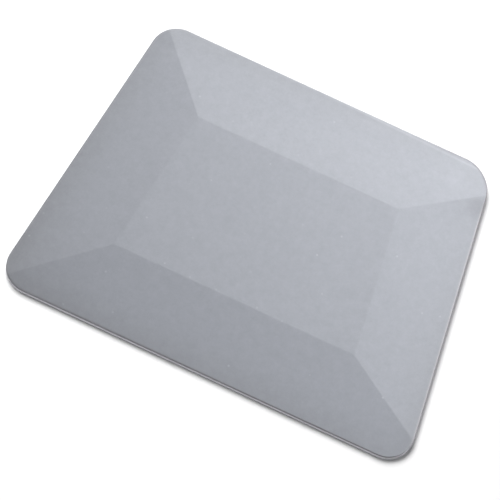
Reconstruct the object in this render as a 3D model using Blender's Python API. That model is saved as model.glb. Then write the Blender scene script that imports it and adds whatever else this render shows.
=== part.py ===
"""Hard card squeegee: one moulded plastic card, thick in its centre panel and bevelled down to a blade on each side.

Metres, +Z up. The card lies on its underside at z = 0, with its long blade towards -Y and its short blade
towards +Y. The origin is on the underside, at the middle of the card's length and of its height.
"""

import math

import bmesh
import bpy
from mathutils import Vector

# Plan: an isosceles trapezoid, measured between its sharp corners, which are then rounded
LONG_EDGE = 0.1016
SHORT_EDGE = 0.08255
CARD_HEIGHT = 0.0730
CORNER_RADIUS = 0.00635
FAR_RIGHT_CORNER_RADIUS = 0.0080

# Thickness: the centre panel, and the blades that the bevels run down to
PANEL_THICKNESS = 0.0030
BLADE_THICKNESS = 0.0015
RIGHT_BLADE_THICKNESS = 0.0020

# Width of each bevel in plan, from the blade's edge in to the centre panel
BEVEL_WIDTH = 0.0185

# Rounding of the blades' upper and lower arris
ARRIS_RADIUS = 0.00025

# Fineness of the curves
CORNER_STEPS = 18
ARRIS_STEPS = 3

# Silver-grey plastic with a satin face
CARD_COLOUR = "A9ADB4"
CARD_ROUGHNESS = 0.5


def clear_scene():
    for thing in list(bpy.data.objects):
        bpy.data.objects.remove(thing)


def linear_colour(hex_colour):
    """An sRGB hex colour as the linear values that a shader takes."""
    values = []
    for start in (0, 2, 4):
        value = int(hex_colour[start:start + 2], 16) / 255
        values.append(value / 12.92 if value <= 0.04045 else ((value + 0.055) / 1.055) ** 2.4)
    return (*values, 1.0)


def plastic_material(name, hex_colour, roughness):
    material = bpy.data.materials.new(name)
    material.use_nodes = True
    shader = material.node_tree.nodes["Principled BSDF"]
    shader.inputs["Base Color"].default_value = linear_colour(hex_colour)
    shader.inputs["Roughness"].default_value = roughness
    shader.inputs["Metallic"].default_value = 0.0
    return material


def plan_corners():
    """The trapezoid's sharp corners, anticlockwise from the long blade's -X end."""
    long_half = LONG_EDGE / 2
    short_half = SHORT_EDGE / 2
    half_height = CARD_HEIGHT / 2
    return [
        Vector((-long_half, -half_height)),
        Vector((long_half, -half_height)),
        Vector((short_half, half_height)),
        Vector((-short_half, half_height)),
    ]


def left_normal(start, end):
    """Unit vector square to the line, on its left, which is the card's inside."""
    along = (end - start).normalized()
    return Vector((-along.y, along.x))


def corner_arc(before, corner, after, radius):
    """Points along the arc that rounds a corner, touching both of its edges."""
    arriving = (corner - before).normalized()
    leaving = (after - corner).normalized()
    turn = math.atan2(arriving.cross(leaving), arriving.dot(leaving))
    first = corner - arriving * radius * math.tan(turn / 2)
    inwards = left_normal(before, corner)
    centre = first + inwards * radius
    start_angle = math.atan2(-inwards.y, -inwards.x)
    points = []
    for step in range(CORNER_STEPS + 1):
        angle = start_angle + turn * step / CORNER_STEPS
        points.append(centre + Vector((math.cos(angle), math.sin(angle))) * radius)
    return points


def rounded_outline():
    corners = plan_corners()
    radii = [CORNER_RADIUS, CORNER_RADIUS, FAR_RIGHT_CORNER_RADIUS, CORNER_RADIUS]
    points = []
    for index, radius in enumerate(radii):
        points += corner_arc(corners[index - 1], corners[index], corners[(index + 1) % 4], radius)
    return points


def card_blank(mesh):
    """A flat plate of the panel's thickness in the card's outline."""
    rim = [mesh.verts.new((point.x, point.y, 0.0)) for point in rounded_outline()]
    underside = mesh.faces.new(rim)
    raised = bmesh.ops.extrude_face_region(mesh, geom=[underside], use_keep_orig=True)
    top_points = [item for item in raised["geom"] if isinstance(item, bmesh.types.BMVert)]
    bmesh.ops.translate(mesh, verts=top_points, vec=(0.0, 0.0, PANEL_THICKNESS))
    bmesh.ops.recalc_face_normals(mesh, faces=mesh.faces)


def bevel_one_side(mesh, start, end, blade_thickness):
    """Slopes the plate's top down to the blade along one edge of the plan."""
    inwards = left_normal(start, end)
    slope = (PANEL_THICKNESS - blade_thickness) / BEVEL_WIDTH
    facing = Vector((-slope * inwards.x, -slope * inwards.y, 1.0)).normalized()
    cut = bmesh.ops.bisect_plane(
        mesh,
        geom=mesh.verts[:] + mesh.edges[:] + mesh.faces[:],
        plane_co=(start.x, start.y, blade_thickness),
        plane_no=facing,
        clear_outer=True,
        dist=1e-7,
    )
    open_edges = [item for item in cut["geom_cut"] if isinstance(item, bmesh.types.BMEdge)]
    bmesh.ops.holes_fill(mesh, edges=open_edges, sides=0)


def keep_creases_crisp(mesh):
    """Every face is shaded smooth, and only the creases between the top's flat facets stay sharp."""
    for face in mesh.faces:
        face.smooth = True
    for edge in mesh.edges:
        edge.smooth = not all(face.normal.z > 0.9 for face in edge.link_faces)


def make_card():
    mesh = bmesh.new()
    card_blank(mesh)
    near_left, near_right, far_right, far_left = plan_corners()
    bevel_one_side(mesh, near_left, near_right, BLADE_THICKNESS)
    bevel_one_side(mesh, near_right, far_right, RIGHT_BLADE_THICKNESS)
    bevel_one_side(mesh, far_right, far_left, BLADE_THICKNESS)
    bevel_one_side(mesh, far_left, near_left, BLADE_THICKNESS)
    keep_creases_crisp(mesh)
    data = bpy.data.meshes.new("squeegee_card")
    mesh.to_mesh(data)
    mesh.free()
    card = bpy.data.objects.new("squeegee_card", data)
    bpy.context.scene.collection.objects.link(card)
    card.data.materials.append(plastic_material("silver_grey_plastic", CARD_COLOUR, CARD_ROUGHNESS))
    rounding = card.modifiers.new("arris_rounding", "BEVEL")
    rounding.width = ARRIS_RADIUS
    rounding.segments = ARRIS_STEPS
    rounding.limit_method = "ANGLE"
    rounding.angle_limit = math.radians(30)
    rounding.harden_normals = True
    return card


clear_scene()
make_card()
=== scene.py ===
import math

import bmesh
import bpy
from mathutils import Matrix, Vector


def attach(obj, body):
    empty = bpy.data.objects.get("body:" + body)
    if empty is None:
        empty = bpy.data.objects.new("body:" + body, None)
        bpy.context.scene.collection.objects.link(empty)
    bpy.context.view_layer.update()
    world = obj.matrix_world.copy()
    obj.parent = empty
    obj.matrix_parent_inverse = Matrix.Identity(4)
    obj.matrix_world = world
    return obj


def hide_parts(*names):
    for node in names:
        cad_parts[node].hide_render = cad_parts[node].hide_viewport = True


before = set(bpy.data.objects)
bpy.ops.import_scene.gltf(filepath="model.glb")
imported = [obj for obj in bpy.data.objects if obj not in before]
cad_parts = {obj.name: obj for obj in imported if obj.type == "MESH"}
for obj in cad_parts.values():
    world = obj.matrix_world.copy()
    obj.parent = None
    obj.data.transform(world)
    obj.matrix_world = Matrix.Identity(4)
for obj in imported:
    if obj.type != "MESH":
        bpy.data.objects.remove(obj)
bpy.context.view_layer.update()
scene = bpy.context.scene
scene.view_settings.view_transform = "Standard"

# ---------------------------------------------------------------------------
# The camera stands a metre away, above the near side of the card, and is rolled so that the
# long blade falls to the right. Lengths are in metres, and its tilt, yaw and roll in degrees.
# ---------------------------------------------------------------------------
CAMERA_DISTANCE = 1.0
CAMERA_TILT = -18.189
CAMERA_YAW = -1.708
CAMERA_ROLL = -24.747
CARD_RIGHT_OF_CENTRE = 0.003358
CARD_ABOVE_CENTRE = 0.003442
FOCAL_PIXELS = 4416.1
FRAME_PIXELS = 500

turn = (
    Matrix.Rotation(math.radians(CAMERA_ROLL), 3, "Z")
    @ Matrix.Rotation(math.radians(CAMERA_YAW), 3, "Y")
    @ Matrix.Rotation(math.radians(CAMERA_TILT), 3, "X")
).transposed()
lens = bpy.data.cameras.new("camera")
lens.sensor_width = 36
lens.lens = FOCAL_PIXELS / FRAME_PIXELS * lens.sensor_width
lens.clip_start = 0.01
camera = bpy.data.objects.new("camera", lens)
scene.collection.objects.link(camera)
stand = turn @ Vector((-CARD_RIGHT_OF_CENTRE, -CARD_ABOVE_CENTRE, CAMERA_DISTANCE))
camera.matrix_world = Matrix.Translation(stand) @ turn.to_4x4()
scene.camera = camera

# ---------------------------------------------------------------------------
# A plain white table. It keeps the card's soft shadow, and past the shadow it goes to white. It
# lies a hair below the card, so that the two faces don't meet.
# ---------------------------------------------------------------------------
FLOOR_WIDTH = 6.0
FLOOR_DROP = 0.00002
SEEN_WHITE = "#F0F0F0"
SURROUNDING_WHITE = "#F4F4F4"
SURROUNDING_GLOW = 0.9


def linear(hex_colour):
    """An sRGB hex colour as the linear values that a shader takes."""
    values = []
    for start in (1, 3, 5):
        value = int(hex_colour[start:start + 2], 16) / 255
        values.append(value / 12.92 if value <= 0.04045 else ((value + 0.055) / 1.055) ** 2.4)
    return (*values, 1.0)


def add_node(material, kind, settings=None, links=None):
    """One node of a material, with its settings and input values, and the sockets that feed it.

    A colour Mix node has its factor at input 0, its colours at 6 and 7, and its result at 2.
    """
    tree = material.node_tree
    node = tree.nodes.new(kind)
    for name, value in (settings or {}).items():
        if isinstance(name, str) and hasattr(node, name):
            setattr(node, name, value)
        else:
            node.inputs[name].default_value = value
    for name, socket in (links or {}).items():
        tree.links.new(socket, node.inputs[name])
    return node


def new_material(name):
    material = bpy.data.materials.new(name)
    material.use_nodes = True
    material.node_tree.nodes.clear()
    return material


# what is seen, straight or in gloss or glass, is a white board that takes the shadow. For the
# light on the card's walls it also glows, as the white surroundings of a photo studio do
floor_paint = new_material("lit_white_table")
ray = add_node(floor_paint, "ShaderNodeLightPath")
surrounding_board = add_node(
    floor_paint, "ShaderNodeBsdfDiffuse", {"Color": linear(SURROUNDING_WHITE)}
)
glow = add_node(floor_paint, "ShaderNodeEmission", {"Strength": SURROUNDING_GLOW})
surroundings = add_node(
    floor_paint, "ShaderNodeAddShader",
    links={0: surrounding_board.outputs[0], 1: glow.outputs[0]},
)
seen_board = add_node(floor_paint, "ShaderNodeBsdfDiffuse", {"Color": linear(SEEN_WHITE)})
seen_or_mirrored = add_node(
    floor_paint, "ShaderNodeMath", {"operation": "MAXIMUM"},
    {0: ray.outputs["Is Camera Ray"], 1: ray.outputs["Is Glossy Ray"]},
)
seen = add_node(
    floor_paint, "ShaderNodeMath", {"operation": "MAXIMUM"},
    {0: seen_or_mirrored.outputs[0], 1: ray.outputs["Is Transmission Ray"]},
)
table_top = add_node(
    floor_paint, "ShaderNodeMixShader",
    links={0: seen.outputs[0], 1: surroundings.outputs[0], 2: seen_board.outputs[0]},
)
add_node(floor_paint, "ShaderNodeOutputMaterial", links={"Surface": table_top.outputs[0]})

bpy.ops.object.select_all(action="DESELECT")
bpy.ops.mesh.primitive_plane_add(size=FLOOR_WIDTH, location=(0, 0, -FLOOR_DROP))
floor = bpy.context.object
floor.name = "floor"
floor.data.materials.append(floor_paint)

# ---------------------------------------------------------------------------
# Studio light: a close soft box at the far right, which the satin bevels mirror, and a lamp behind
# the card. A third lamp, at the far left, and a large fill overhead light the floor alone, and so
# give the card's shadow its place and its depth.
# ---------------------------------------------------------------------------
SURROUNDING_LIGHT = 0.1


def add_lamp(name, azimuth, elevation, distance, width, depth, power, floor_state):
    """A round or oval lamp aimed at the card: INCLUDE lights the floor alone, EXCLUDE all else."""
    data = bpy.data.lights.new(name, "AREA")
    data.shape = "ELLIPSE"
    data.size = width
    data.size_y = depth
    data.energy = power
    lamp = bpy.data.objects.new(name, data)
    scene.collection.objects.link(lamp)
    flat = math.cos(math.radians(elevation))
    towards = Vector((
        flat * math.cos(math.radians(azimuth)),
        flat * math.sin(math.radians(azimuth)),
        math.sin(math.radians(elevation)),
    ))
    lamp.location = towards * distance
    across = Vector((0, 1, 0)).cross(towards).normalized()
    facing = Matrix((across, towards.cross(across), towards)).transposed()
    lamp.rotation_euler = facing.to_euler()
    flags = bpy.data.collections.new(name + "_flags")
    flags.objects.link(floor)
    flags.collection_objects[0].light_linking.link_state = floor_state
    lamp.light_linking.receiver_collection = flags
    lamp.visible_camera = False


add_lamp(
    "soft_box", azimuth=48, elevation=37.4, distance=0.30, width=0.377, depth=0.377,
    power=1.27, floor_state="EXCLUDE",
)
add_lamp(
    "far_lamp", azimuth=102, elevation=58, distance=1.0, width=0.40, depth=0.40,
    power=3.25, floor_state="EXCLUDE",
)
add_lamp(
    "shadow_lamp", azimuth=129, elevation=54.7, distance=1.0, width=0.66, depth=0.95,
    power=15.9, floor_state="INCLUDE",
)
add_lamp(
    "overhead_fill", azimuth=0, elevation=90, distance=1.0, width=3.0, depth=3.0,
    power=1.5, floor_state="INCLUDE",
)
world = bpy.data.worlds.new("studio")
world.use_nodes = True
background = world.node_tree.nodes["Background"]
background.inputs["Color"].default_value = linear("#FFFFFF")
background.inputs["Strength"].default_value = SURROUNDING_LIGHT
scene.world = world

# ---------------------------------------------------------------------------
# The card: one injection-moulded plate of stiff filled nylon. Its four bevels are moulded with it,
# its rim is trimmed, and every arris is broken by a fine chamfer.
# ---------------------------------------------------------------------------
LONG_EDGE = 0.1016
SHORT_EDGE = 0.08255
CARD_HEIGHT = 0.0730
CORNER_RADIUS = 0.00635
FAR_RIGHT_CORNER_RADIUS = 0.0080
CORNER_STEPS = 15
FIRST_POINT_DEPTH = 0.00008
PANEL_THICKNESS = 0.0030
BLADE_THICKNESS = 0.0015
RIGHT_BLADE_THICKNESS = 0.0020
BEVEL_WIDTH = 0.0185
CREASE_SOFTNESS = 0.00045
CREASE_STEPS = 3
UPPER_ARRIS = 0.00020
LOWER_ARRIS = 0.00015
RIM_BAND = 0.00045
WORN_FLAT_START = 0.010
WORN_FLAT_FALL = 0.0013
WORN_FLAT_SLOPE = 0.150
STEEPER_THAN_BEVELS = 0.12
TINY = 1e-7

# what tells faces and edges apart: how far up a face's normal points, and how far an edge turns
TOP_RISE = 0.9
WALL_RISE = 0.3
CREASE_TURN = math.radians(1)
RIM_TURN = math.radians(60)
SHARP_TURN = math.radians(30)

bpy.ops.object.select_all(action="DESELECT")
bpy.ops.mesh.primitive_plane_add(size=1, location=(0, 0, 0))
card = bpy.context.object
card.name = "moulded_card"


def select_where(piece, kind, wanted):
    """Selects the vertices, edges or faces of the piece in edit mode for which wanted is true."""
    bpy.ops.mesh.select_mode(type={"verts": "VERT", "edges": "EDGE", "faces": "FACE"}[kind])
    bpy.ops.mesh.select_all(action="DESELECT")
    mesh = bmesh.from_edit_mesh(piece.data)
    for item in getattr(mesh, kind):
        if wanted(item):
            item.select_set(True)
    mesh.select_flush_mode()
    bmesh.update_edit_mesh(piece.data)


def inwards_from(start, end):
    """Unit vector in plan, square to a side of the card, towards the card's middle."""
    side = (end - start).normalized()
    return Vector((-side.y, side.x, 0))


bpy.ops.object.mode_set(mode="EDIT")
bpy.ops.mesh.select_all(action="SELECT")
bpy.ops.transform.resize(value=(LONG_EDGE, CARD_HEIGHT, 1))

# the far edge is drawn in to the short blade's length
select_where(card, "verts", lambda v: v.co.y > 0)
bpy.ops.transform.resize(value=(SHORT_EDGE / LONG_EDGE, 1, 1))

# each corner is rounded: the offset is the length of edge that the arc takes away
near_left = Vector((-LONG_EDGE / 2, -CARD_HEIGHT / 2, 0))
near_right = Vector((LONG_EDGE / 2, -CARD_HEIGHT / 2, 0))
far_right = Vector((SHORT_EDGE / 2, CARD_HEIGHT / 2, 0))
far_left = Vector((-SHORT_EDGE / 2, CARD_HEIGHT / 2, 0))
lean = math.atan2((LONG_EDGE - SHORT_EDGE) / 2, CARD_HEIGHT)
near_turn = math.pi / 2 + lean
far_turn = math.pi / 2 - lean
for corner, radius, angle in (
    (near_left, CORNER_RADIUS, near_turn),
    (near_right, CORNER_RADIUS, near_turn),
    (far_right, FAR_RIGHT_CORNER_RADIUS, far_turn),
    (far_left, CORNER_RADIUS, far_turn),
):
    select_where(card, "verts", lambda v: (v.co - corner).length < TINY)
    bpy.ops.mesh.bevel(
        affect="VERTICES",
        offset_type="OFFSET",
        offset=radius * math.tan(angle / 2),
        segments=CORNER_STEPS,
        profile=0.5,
    )
# the thicker right blade's hips land beside its arcs' first points, which make room for them
from_right = inwards_from(near_right, far_right)
select_where(
    card, "verts", lambda v: TINY < (v.co - near_right).dot(from_right) < FIRST_POINT_DEPTH
)
bpy.ops.mesh.dissolve_verts()

# the blank is raised to the panel's thickness
bpy.ops.mesh.select_all(action="SELECT")
bpy.ops.mesh.extrude_region_move(TRANSFORM_OT_translate={"value": (0, 0, PANEL_THICKNESS)})

# and each side is sloped down to its blade
for start, end, blade in (
    (near_left, near_right, BLADE_THICKNESS),
    (near_right, far_right, RIGHT_BLADE_THICKNESS),
    (far_right, far_left, BLADE_THICKNESS),
    (far_left, near_left, BLADE_THICKNESS),
):
    slope = (PANEL_THICKNESS - blade) / BEVEL_WIDTH
    bpy.ops.mesh.select_all(action="SELECT")
    bpy.ops.mesh.bisect(
        plane_co=start + Vector((0, 0, blade)),
        plane_no=Vector((0, 0, 1)) - inwards_from(start, end) * slope,
        use_fill=True,
        clear_outer=True,
        threshold=TINY,
    )

# a narrow band is marked off along the rim, where its painted shade, painted highlight and
# darkening fade out
select_where(card, "faces", lambda f: f.normal.z > TOP_RISE)
bpy.ops.mesh.inset(
    thickness=UPPER_ARRIS + RIM_BAND,
    depth=0,
    use_boundary=True,
    use_even_offset=True,
    use_edge_rail=True,
)

# the creases and hips are softened, then the rim's arrises are broken
select_where(
    card, "edges",
    lambda e: all(f.normal.z > TOP_RISE for f in e.link_faces)
    and e.calc_face_angle(0) > CREASE_TURN,
)
bpy.ops.mesh.bevel(
    affect="EDGES", offset_type="WIDTH", offset=CREASE_SOFTNESS, segments=CREASE_STEPS,
    profile=0.5,
)
for upper, offset in ((True, UPPER_ARRIS), (False, LOWER_ARRIS)):
    select_where(
        card, "edges",
        lambda e: e.calc_face_angle(0) > RIM_TURN
        and (e.verts[0].co.z > BLADE_THICKNESS / 2) == upper,
    )
    bpy.ops.mesh.bevel(affect="EDGES", offset_type="OFFSET", offset=offset, segments=1)

# the far blade's right half has worn to a slim flat, steeper than the bevel
bpy.ops.mesh.select_all(action="SELECT")
bpy.ops.mesh.bisect(
    plane_co=(WORN_FLAT_START, CARD_HEIGHT / 2, BLADE_THICKNESS),
    plane_no=(WORN_FLAT_FALL, WORN_FLAT_SLOPE, 1),
    use_fill=True,
    clear_outer=True,
    threshold=TINY,
)
# its edge has points in one line, so its triangles are chosen here
select_where(
    card, "faces", lambda f: f.normal.z > TOP_RISE and f.normal.y > STEEPER_THAN_BEVELS
)
bpy.ops.mesh.quads_convert_to_tris(quad_method="BEAUTY", ngon_method="BEAUTY")
bpy.ops.mesh.select_all(action="SELECT")
bpy.ops.mesh.normals_make_consistent(inside=False)
bpy.ops.object.mode_set(mode="OBJECT")
bpy.ops.object.shade_smooth_by_angle(angle=SHARP_TURN)
# the wide facets keep their own flat normals, so that only the narrow roundings shade across
flats = card.modifiers.new("flat_facets", "WEIGHTED_NORMAL")
flats.keep_sharp = True
bpy.ops.object.modifier_apply(modifier=flats.name)

# The nylon is moulded against a finely spark-eroded steel face, which leaves it satin. Its filler
# lies unevenly, so the grey is clouded, and a few grains of it show as pale specks. The grey is
# darker towards the rim, and painted shade darkens it further at the near left corner and the
# panel's right end. Handling has left a haze by the far right corner, and the right bevel has two
# darker patches. A painted highlight runs just inside the rim and along the worn flat's inner
# line;
# painted shade darkens the near and right rims, the arris round the worn corner is darker, and the
# trimmed wall is paler.
NYLON_IOR = 1.5
ROUGHNESS = (0.39, 0.43)
WIPE_LENGTH = 0.030
WIPE_WIDTH = 0.0015
WIPE_NOISE_RANGE = (0.3, 0.7)
GRAIN_SIZE = 0.00030
GRAIN_DEPTH = 0.000004
CLOUD_SIZE = 0.0022
CLOUD_DARK = "#9599A1"
CLOUD_PALE = "#ADB0B9"
SPECK_SPACING = 0.008
SPECK_RADIUS = 0.00033
SPECK_RARITY = 3.0
SPECK_COLOUR = "#C6C9CE"
WALL_COLOUR = "#A9A8AD"
# painted shade on the near and right rims, and a darker arris round the worn corner
RIM_DARKENING_COLOUR = "#7C7A80"

# darker towards the rim: how far in, its strength at the card's middle and its change per metre;
# the growth towards the near left is painted shade
RIM_SHADE_REACH = 0.010
RIM_SHADE_AT_MIDDLE = 0.78
RIM_SHADE_GRADIENT = (-4.0, -6.8, 0.0)
RIM_SHADE_TINT = (0.885, 0.88, 0.865, 1.0)

# a finger's haze, two darker patches, and painted shade at the near left corner and the panel's
# right end
HAZE_PLACE = (0.0338, 0.0306, BLADE_THICKNESS)
HAZE_REACH = 0.0036
HAZE_TINT = (1.05, 1.05, 1.05, 1.0)
DARK_PATCH_PLACE = (0.0418, 0.0268, RIGHT_BLADE_THICKNESS)
DARK_PATCH_REACH = 0.0046
DARK_PATCH_TINT = (0.83, 0.83, 0.83, 1.0)
FAINT_DARK_PATCH_PLACE = (0.0370, 0.0255, RIGHT_BLADE_THICKNESS)
FAINT_DARK_PATCH_REACH = 0.0085
FAINT_DARK_PATCH_TINT = (0.95, 0.95, 0.95, 1.0)
NEAR_LEFT_SHADE_PLACE = (-0.0490, -0.0350, BLADE_THICKNESS)
NEAR_LEFT_SHADE_REACH = 0.024
NEAR_LEFT_SHADE_TINT = (0.925, 0.92, 0.915, 1.0)
# the panel's right end is darkened by painted shade
RIGHT_END_SHADE_RANGE = (BEVEL_WIDTH + 0.0035, BEVEL_WIDTH + 0.0090)
RIGHT_END_SHADE_TINT = (0.977, 0.977, 0.977, 1.0)
PANEL_MARGIN = 0.00001

# the worn flat's inner line, which a painted highlight lightens
WORN_LINE_START = Vector((-0.005, CARD_HEIGHT / 2, 0))
WORN_LINE_TURN = math.radians(1.6)
WORN_LINE_WIDTH = 0.00050
WEAR_BEGINS = (-0.002, 0.010)
WORN_LINE_HIGHLIGHT_TINT = (1.15, 1.14, 1.13, 1.0)

# along the rim: each pair is where a mark starts to fade, or to grow, and where that ends
RIGHT_RIM_WIDTH = (0.0002, 0.0010)
# the darkening along the near blade and the right rim is painted shade
NEAR_BLADE_SHADE_RANGE = (-0.0362, -0.0325)
NEAR_BAND_SHADE_END = (-0.030, 0.020)
NEAR_ARRIS_SHADE_RANGE = (-0.050, 0.015)
NEAR_ARRIS_LEAST = 0.4
NEAR_BAND_STRENGTH = 0.4
WORN_CORNER_DARK_RANGE = (0.010, 0.018)
WORN_CORNER_BAND_STRENGTH = 0.5
RIGHT_RIM_SHADE_STRENGTH = 0.8
# the pale band just inside the rim is a painted highlight
UNHIGHLIGHTED_CORNER = (0.0065, 0.0105)
RIM_HIGHLIGHT_STRENGTH = 0.20
RIGHT_RIM_HIGHLIGHT_EXTRA = 0.80
RIM_HIGHLIGHT_TINT = (1.43, 1.34, 1.27, 1.0)

# the rim's parts are marked: its upper arris, the band that fades inwards from it, and the
# trimmed wall
for mark in ("arris", "rim_band", "trimmed"):
    card.data.attributes.new(mark, "FLOAT", "CORNER")
marks = card.data.attributes
arris_points = set()
for face in card.data.polygons:
    if WALL_RISE < face.normal.z < TOP_RISE:
        arris_points.update(face.vertices)
for face in card.data.polygons:
    for loop in face.loop_indices:
        if WALL_RISE < face.normal.z < TOP_RISE:
            marks["arris"].data[loop].value = 1.0
        elif face.normal.z >= TOP_RISE and card.data.loops[loop].vertex_index in arris_points:
            marks["rim_band"].data[loop].value = 1.0
        elif abs(face.normal.z) < WALL_RISE:
            marks["trimmed"].data[loop].value = 1.0

nylon = new_material("satin_filled_nylon")
on_card = add_node(nylon, "ShaderNodeTexCoord").outputs["Object"]
axes = add_node(nylon, "ShaderNodeSeparateXYZ", links={0: on_card})
on_top = add_node(
    nylon, "ShaderNodeMath", {"operation": "GREATER_THAN", 1: BLADE_THICKNESS / 2},
    {0: axes.outputs["Z"]},
)
clouds = add_node(
    nylon, "ShaderNodeTexNoise", {"Scale": 1 / CLOUD_SIZE, "Detail": 4.0, "Roughness": 0.9},
    {"Vector": on_card},
)
clouded = add_node(
    nylon, "ShaderNodeMix", {"data_type": "RGBA", 6: linear(CLOUD_DARK), 7: linear(CLOUD_PALE)},
    {0: clouds.outputs["Fac"]},
)

# distance in from the rim: the nearer of the long and the slanted sides, eased together at the
# corners
mirrored = add_node(nylon, "ShaderNodeVectorMath", {"operation": "ABSOLUTE"}, {0: on_card})
mirrored_axes = add_node(nylon, "ShaderNodeSeparateXYZ", links={0: mirrored.outputs[0]})
from_long_sides = add_node(
    nylon, "ShaderNodeMath", {"operation": "SUBTRACT", 0: CARD_HEIGHT / 2},
    {1: mirrored_axes.outputs["Y"]},
)
slanted_side_at_middle = LONG_EDGE / 2 * math.cos(lean) - CARD_HEIGHT / 2 * math.sin(lean)
from_mean_side = add_node(
    nylon, "ShaderNodeMath",
    {"operation": "MULTIPLY_ADD", 1: -math.cos(lean), 2: slanted_side_at_middle},
    {0: mirrored_axes.outputs["X"]},
)
from_slanted_sides = add_node(
    nylon, "ShaderNodeMath", {"operation": "MULTIPLY_ADD", 1: -math.sin(lean)},
    {0: axes.outputs["Y"], 2: from_mean_side.outputs[0]},
)
from_rim = add_node(
    nylon, "ShaderNodeMath", {"operation": "SMOOTH_MIN", 2: CORNER_RADIUS},
    {0: from_long_sides.outputs[0], 1: from_slanted_sides.outputs[0]},
)

# the grey is darkened towards the rim; its growth towards the near left corner is painted shade
nearness = add_node(
    nylon, "ShaderNodeMapRange", {"From Min": RIM_SHADE_REACH, "From Max": 0.0},
    {"Value": from_rim.outputs[0]},
)
rim_shade = add_node(
    nylon, "ShaderNodeMath", {"operation": "MULTIPLY"},
    {0: nearness.outputs[0], 1: nearness.outputs[0]},
)
towards_near_left = add_node(
    nylon, "ShaderNodeVectorMath", {"operation": "DOT_PRODUCT", 1: RIM_SHADE_GRADIENT},
    {0: on_card},
)
shade_strength = add_node(
    nylon, "ShaderNodeMath", {"operation": "ADD", 1: RIM_SHADE_AT_MIDDLE},
    {0: towards_near_left.outputs["Value"]},
)
toward_rim_darkening = add_node(
    nylon, "ShaderNodeMath", {"operation": "MULTIPLY"},
    {0: rim_shade.outputs[0], 1: shade_strength.outputs[0]},
)
darkened_towards_rim = add_node(
    nylon, "ShaderNodeMix", {"data_type": "RGBA", "blend_type": "MULTIPLY", 7: RIM_SHADE_TINT},
    {0: toward_rim_darkening.outputs[0], 6: clouded.outputs[2]},
)

# fingers leave a pale haze beside the far right corner; the right bevel alone is darker in two
# patches below its hip, and painted shade darkens the near left corner. The right bevel is where
# its plane is the lowest
far_fall = (PANEL_THICKNESS - BLADE_THICKNESS) / BEVEL_WIDTH
right_fall = (PANEL_THICKNESS - RIGHT_BLADE_THICKNESS) / BEVEL_WIDTH
far_plane = add_node(
    nylon, "ShaderNodeMath", {"operation": "MULTIPLY_ADD", 1: far_fall, 2: BLADE_THICKNESS},
    {0: from_long_sides.outputs[0]},
)
right_plane = add_node(
    nylon, "ShaderNodeMath",
    {"operation": "MULTIPLY_ADD", 1: right_fall, 2: RIGHT_BLADE_THICKNESS},
    {0: from_slanted_sides.outputs[0]},
)
right_is_lowest = add_node(
    nylon, "ShaderNodeMath", {"operation": "LESS_THAN"},
    {0: right_plane.outputs[0], 1: far_plane.outputs[0]},
)
on_right_bevel = add_node(
    nylon, "ShaderNodeMath", {"operation": "MULTIPLY"},
    {0: right_is_lowest.outputs[0], 1: on_top.outputs[0]},
)
marked = darkened_towards_rim
for place, reach, fading, tint, kept_to in (
    (HAZE_PLACE, HAZE_REACH, "SMOOTHSTEP", HAZE_TINT, None),
    (DARK_PATCH_PLACE, DARK_PATCH_REACH, "SMOOTHSTEP", DARK_PATCH_TINT, on_right_bevel),
    (FAINT_DARK_PATCH_PLACE, FAINT_DARK_PATCH_REACH, "SMOOTHSTEP", FAINT_DARK_PATCH_TINT, on_right_bevel),
    (NEAR_LEFT_SHADE_PLACE, NEAR_LEFT_SHADE_REACH, "LINEAR", NEAR_LEFT_SHADE_TINT, None),
):
    distance = add_node(
        nylon, "ShaderNodeVectorMath", {"operation": "DISTANCE", 1: place}, {0: on_card}
    )
    strength = add_node(
        nylon, "ShaderNodeMapRange",
        {"interpolation_type": fading, "From Max": reach, "To Min": 1.0, "To Max": 0.0},
        {"Value": distance.outputs["Value"]},
    )
    if kept_to is not None:
        strength = add_node(
            nylon, "ShaderNodeMath", {"operation": "MULTIPLY"},
            {0: strength.outputs[0], 1: kept_to.outputs[0]},
        )
    marked = add_node(
        nylon, "ShaderNodeMix", {"data_type": "RGBA", "blend_type": "MULTIPLY", 7: tint},
        {0: strength.outputs[0], 6: marked.outputs[2]},
    )

# four masks, each full at the start of its range and gone by the end: the painted shade's on the
# panel's right end, and the rim's along the right side, along the near blade and round the worn
# corner
worn_corner = (SHORT_EDGE / 2, CARD_HEIGHT / 2, BLADE_THICKNESS)
corner_distance = add_node(
    nylon, "ShaderNodeVectorMath", {"operation": "DISTANCE", 1: worn_corner}, {0: on_card}
)
by_right_end, by_slanted_rim, by_near_blade, by_worn_corner = [
    add_node(
        nylon, "ShaderNodeMapRange",
        {
            "interpolation_type": "SMOOTHSTEP", "From Min": full, "From Max": gone,
            "To Min": 1.0, "To Max": 0.0,
        },
        {"Value": measure},
    )
    for (full, gone), measure in (
        (RIGHT_END_SHADE_RANGE, from_slanted_sides.outputs[0]),
        (RIGHT_RIM_WIDTH, from_slanted_sides.outputs[0]),
        (NEAR_BLADE_SHADE_RANGE, axes.outputs["Y"]),
        (WORN_CORNER_DARK_RANGE, corner_distance.outputs["Value"]),
    )
]

# painted shade darkens the panel's right end, inside the crease to the right bevel
on_panel = add_node(
    nylon, "ShaderNodeMath",
    {"operation": "GREATER_THAN", 1: PANEL_THICKNESS - PANEL_MARGIN}, {0: axes.outputs["Z"]},
)
on_right_half = add_node(
    nylon, "ShaderNodeMath", {"operation": "GREATER_THAN", 1: 0.0}, {0: axes.outputs["X"]}
)
on_right_panel = add_node(
    nylon, "ShaderNodeMath", {"operation": "MULTIPLY"},
    {0: on_panel.outputs[0], 1: on_right_half.outputs[0]},
)
right_end_shade = add_node(
    nylon, "ShaderNodeMath", {"operation": "MULTIPLY"},
    {0: on_right_panel.outputs[0], 1: by_right_end.outputs[0]},
)
right_end_shaded = add_node(
    nylon, "ShaderNodeMix", {"data_type": "RGBA", "blend_type": "MULTIPLY", 7: RIGHT_END_SHADE_TINT},
    {0: right_end_shade.outputs[0], 6: marked.outputs[2]},
)
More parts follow.
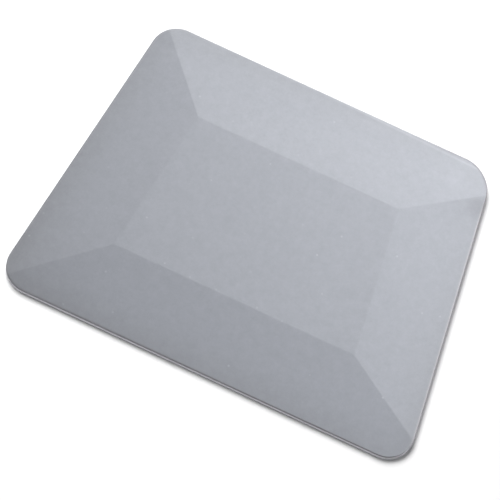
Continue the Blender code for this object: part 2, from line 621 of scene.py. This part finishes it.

# a painted highlight lightens the worn flat's inner line, from where the wear begins to the corner
line_normal = Vector((-math.sin(WORN_LINE_TURN), -math.cos(WORN_LINE_TURN), 0))
across_line = add_node(
    nylon, "ShaderNodeVectorMath", {"operation": "DOT_PRODUCT", 1: line_normal}, {0: on_card}
)
from_line = add_node(
    nylon, "ShaderNodeMath", {"operation": "SUBTRACT", 1: WORN_LINE_START.dot(line_normal)},
    {0: across_line.outputs["Value"]},
)
off_line = add_node(
    nylon, "ShaderNodeMath", {"operation": "ABSOLUTE"}, {0: from_line.outputs[0]}
)
on_line = add_node(
    nylon, "ShaderNodeMapRange",
    {
        "interpolation_type": "SMOOTHSTEP", "From Max": WORN_LINE_WIDTH,
        "To Min": 1.0, "To Max": 0.0,
    },
    {"Value": off_line.outputs[0]},
)
past_start = add_node(
    nylon, "ShaderNodeMapRange",
    {
        "interpolation_type": "SMOOTHSTEP",
        "From Min": WEAR_BEGINS[0], "From Max": WEAR_BEGINS[1],
    },
    {"Value": axes.outputs["X"]},
)
worn_line = add_node(
    nylon, "ShaderNodeMath", {"operation": "MULTIPLY"},
    {0: on_line.outputs[0], 1: past_start.outputs[0]},
)
worn_line_highlight = add_node(
    nylon, "ShaderNodeMath", {"operation": "MULTIPLY"},
    {0: worn_line.outputs[0], 1: on_top.outputs[0]},
)
worn_line_highlighted = add_node(
    nylon, "ShaderNodeMix", {"data_type": "RGBA", "blend_type": "MULTIPLY", 7: WORN_LINE_HIGHLIGHT_TINT},
    {0: worn_line_highlight.outputs[0], 6: right_end_shaded.outputs[2]},
)

# pale specks of filler, one in each cell, of which few are strong
cells = add_node(
    nylon, "ShaderNodeTexVoronoi", {"voronoi_dimensions": "2D", "Scale": 1 / SPECK_SPACING},
    {"Vector": on_card},
)
at_speck = add_node(
    nylon, "ShaderNodeMapRange",
    {"From Max": SPECK_RADIUS / SPECK_SPACING, "To Min": 1.0, "To Max": 0.0},
    {"Value": cells.outputs["Distance"]},
)
paleness = add_node(
    nylon, "ShaderNodeMath", {"operation": "POWER", 1: SPECK_RARITY}, {0: cells.outputs["Color"]}
)
speck = add_node(
    nylon, "ShaderNodeMath", {"operation": "MULTIPLY"},
    {0: at_speck.outputs[0], 1: paleness.outputs[0]},
)
specked = add_node(
    nylon, "ShaderNodeMix", {"data_type": "RGBA", 7: linear(SPECK_COLOUR)},
    {0: speck.outputs[0], 6: worn_line_highlighted.outputs[2]},
)

# the trimmed wall is paler than the moulded face
on_wall = add_node(nylon, "ShaderNodeAttribute", {"attribute_name": "trimmed"})
on_arris = add_node(nylon, "ShaderNodeAttribute", {"attribute_name": "arris"})
on_band = add_node(nylon, "ShaderNodeAttribute", {"attribute_name": "rim_band"})
trimmed = add_node(
    nylon, "ShaderNodeMix", {"data_type": "RGBA", 7: linear(WALL_COLOUR)},
    {0: on_wall.outputs["Fac"], 6: specked.outputs[2]},
)

# a painted highlight lightens the rim just inside its arris, most on the right blade, not on the
# near blade and not on the worn corner
by_right_rim = add_node(
    nylon, "ShaderNodeMath", {"operation": "MULTIPLY"},
    {0: by_slanted_rim.outputs[0], 1: on_right_half.outputs[0]},
)
past_corner = add_node(
    nylon, "ShaderNodeMapRange",
    {"From Min": UNHIGHLIGHTED_CORNER[0], "From Max": UNHIGHLIGHTED_CORNER[1]},
    {"Value": corner_distance.outputs["Value"]},
)
off_near_blade = add_node(
    nylon, "ShaderNodeMath",
    {"operation": "MULTIPLY_ADD", 1: -RIM_HIGHLIGHT_STRENGTH, 2: RIM_HIGHLIGHT_STRENGTH},
    {0: by_near_blade.outputs[0]},
)
rim_highlight_strength = add_node(
    nylon, "ShaderNodeMath", {"operation": "MULTIPLY_ADD", 1: RIGHT_RIM_HIGHLIGHT_EXTRA},
    {0: by_right_rim.outputs[0], 2: off_near_blade.outputs[0]},
)
band_past_corner = add_node(
    nylon, "ShaderNodeMath", {"operation": "MULTIPLY"},
    {0: on_band.outputs["Fac"], 1: past_corner.outputs[0]},
)
rim_highlight = add_node(
    nylon, "ShaderNodeMath", {"operation": "MULTIPLY"},
    {0: band_past_corner.outputs[0], 1: rim_highlight_strength.outputs[0]},
)
rim_highlighted = add_node(
    nylon, "ShaderNodeMix", {"data_type": "RGBA", "blend_type": "MULTIPLY", 7: RIM_HIGHLIGHT_TINT},
    {0: rim_highlight.outputs[0], 6: trimmed.outputs[2]},
)

# painted shade darkens the right blade's wall and arris
wall_and_arris = add_node(
    nylon, "ShaderNodeMath", {"operation": "ADD"},
    {0: on_arris.outputs["Fac"], 1: on_wall.outputs["Fac"]},
)
right_rim_shade = add_node(
    nylon, "ShaderNodeMath", {"operation": "MULTIPLY"},
    {0: wall_and_arris.outputs[0], 1: by_right_rim.outputs[0]},
)

# painted shade darkens the near blade's arris, more towards its right end, and the arris round the
# worn corner is darker too
near_arris_strength = add_node(
    nylon, "ShaderNodeMapRange",
    {
        "From Min": NEAR_ARRIS_SHADE_RANGE[0], "From Max": NEAR_ARRIS_SHADE_RANGE[1],
        "To Min": NEAR_ARRIS_LEAST, "To Max": 1.0,
    },
    {"Value": axes.outputs["X"]},
)
near_arris = add_node(
    nylon, "ShaderNodeMath", {"operation": "MULTIPLY"},
    {0: by_near_blade.outputs[0], 1: near_arris_strength.outputs[0]},
)
darkened_arris_places = add_node(
    nylon, "ShaderNodeMath", {"operation": "MAXIMUM"},
    {0: near_arris.outputs[0], 1: by_worn_corner.outputs[0]},
)
arris_darkening = add_node(
    nylon, "ShaderNodeMath", {"operation": "MULTIPLY"},
    {0: on_arris.outputs["Fac"], 1: darkened_arris_places.outputs[0]},
)

# and part of the band inside it: painted shade on the near blade's left half, and darkening on the
# worn corner's far side
on_left_half = add_node(
    nylon, "ShaderNodeMapRange",
    {
        "interpolation_type": "SMOOTHSTEP",
        "From Min": NEAR_BAND_SHADE_END[0], "From Max": NEAR_BAND_SHADE_END[1],
        "To Min": NEAR_BAND_STRENGTH, "To Max": 0.0,
    },
    {"Value": axes.outputs["X"]},
)
near_band = add_node(
    nylon, "ShaderNodeMath", {"operation": "MULTIPLY"},
    {0: by_near_blade.outputs[0], 1: on_left_half.outputs[0]},
)
off_right_rim = add_node(
    nylon, "ShaderNodeMath", {"operation": "SUBTRACT", 0: 1.0}, {1: by_right_rim.outputs[0]}
)
corner_band = add_node(
    nylon, "ShaderNodeMath", {"operation": "MULTIPLY"},
    {0: by_worn_corner.outputs[0], 1: off_right_rim.outputs[0]},
)
darkened_band = add_node(
    nylon, "ShaderNodeMath", {"operation": "MULTIPLY_ADD", 1: WORN_CORNER_BAND_STRENGTH},
    {0: corner_band.outputs[0], 2: near_band.outputs[0]},
)
band_darkening = add_node(
    nylon, "ShaderNodeMath", {"operation": "MULTIPLY"},
    {0: on_band.outputs["Fac"], 1: darkened_band.outputs[0]},
)
upper_darkening = add_node(
    nylon, "ShaderNodeMath", {"operation": "ADD"},
    {0: arris_darkening.outputs[0], 1: band_darkening.outputs[0]},
)
rim_shade_and_darkening = add_node(
    nylon, "ShaderNodeMath", {"operation": "MULTIPLY_ADD", 1: RIGHT_RIM_SHADE_STRENGTH},
    {0: right_rim_shade.outputs[0], 2: upper_darkening.outputs[0]},
)
rim_shaded_and_darkened = add_node(
    nylon, "ShaderNodeMix", {"data_type": "RGBA", 7: linear(RIM_DARKENING_COLOUR)},
    {0: rim_shade_and_darkening.outputs[0], 6: rim_highlighted.outputs[2]},
)

# faint wiping marks along the card vary its gloss, and the spark texture roughens it. Its real
# pits are near 0.05 mm across; they are drawn as coarse as the picture can show
wiping = add_node(
    nylon, "ShaderNodeMapping", {"Scale": (1 / WIPE_LENGTH, 1 / WIPE_WIDTH, 1 / WIPE_WIDTH)},
    {"Vector": on_card},
)
wipes = add_node(
    nylon, "ShaderNodeTexNoise", {"Scale": 1.0, "Detail": 2.0}, {"Vector": wiping.outputs[0]}
)
gloss = add_node(
    nylon, "ShaderNodeMapRange",
    {
        "From Min": WIPE_NOISE_RANGE[0], "From Max": WIPE_NOISE_RANGE[1],
        "To Min": ROUGHNESS[0], "To Max": ROUGHNESS[1],
    },
    {"Value": wipes.outputs["Fac"]},
)
grain = add_node(
    nylon, "ShaderNodeTexNoise", {"Scale": 1 / GRAIN_SIZE, "Detail": 2.0, "Roughness": 0.5},
    {"Vector": on_card},
)
spark_texture = add_node(
    nylon, "ShaderNodeBump", {"Strength": 1.0, "Distance": GRAIN_DEPTH},
    {"Height": grain.outputs["Fac"]},
)
shader = add_node(
    nylon, "ShaderNodeBsdfPrincipled", {"IOR": NYLON_IOR},
    {
        "Base Color": rim_shaded_and_darkened.outputs[2], "Roughness": gloss.outputs[0],
        "Normal": spark_texture.outputs["Normal"],
    },
)
add_node(nylon, "ShaderNodeOutputMaterial", links={"Surface": shader.outputs["BSDF"]})
card.data.materials.append(nylon)

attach(card, "root")
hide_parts("squeegee_card")
